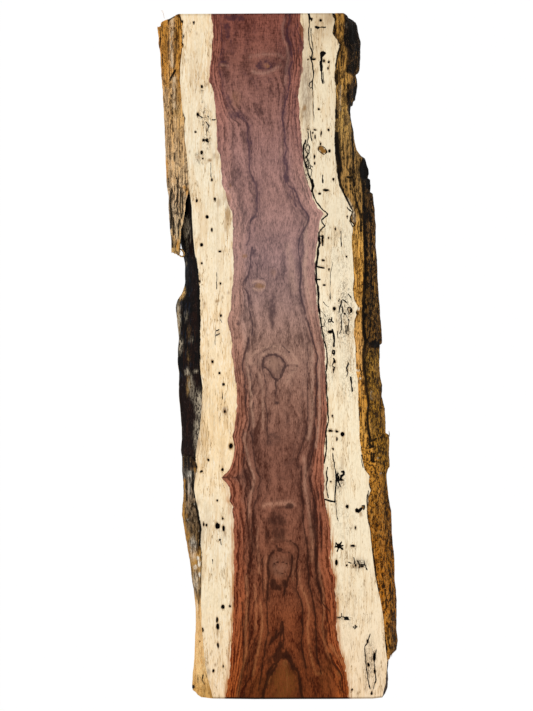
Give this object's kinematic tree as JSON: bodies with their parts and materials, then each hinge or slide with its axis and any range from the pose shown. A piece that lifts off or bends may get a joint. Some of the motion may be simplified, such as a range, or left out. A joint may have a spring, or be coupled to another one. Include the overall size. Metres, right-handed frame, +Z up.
{
  "type": "live edge wood slab",
  "caption": "Long thick sawn slab of two-tone spalted hardwood with natural wavy edges and strips of bark along its sides, lying flat.",
  "frame": {"origin": "middle of the underside, at the bottom centre of the object's box", "axes": "+Y along the grain to the far end, +X to the right edge, +Z up from the wider sawn face to the narrower one"},
  "size_m": [0.6593, 1.8296, 0.052],
  "materials": {
    "sawn_wood": "sanded bare wood: purple-brown heartwood with dark bands, cream sapwood with black spalt lines",
    "outer_bark": "rough dark bark with a golden sawn inner layer",
    "fibrous_bark": "golden brown stringy bark fibres, grey where weathered",
    "inner_bark": "thin smooth golden inner bark, grey where weathered"
  },
  "bodies": {
    "root": {"slab": "sawn_wood", "bark_right": "outer_bark", "bark_left_upper": "fibrous_bark", "bark_left_lower": "inner_bark"}
  },
  "joints": []
}
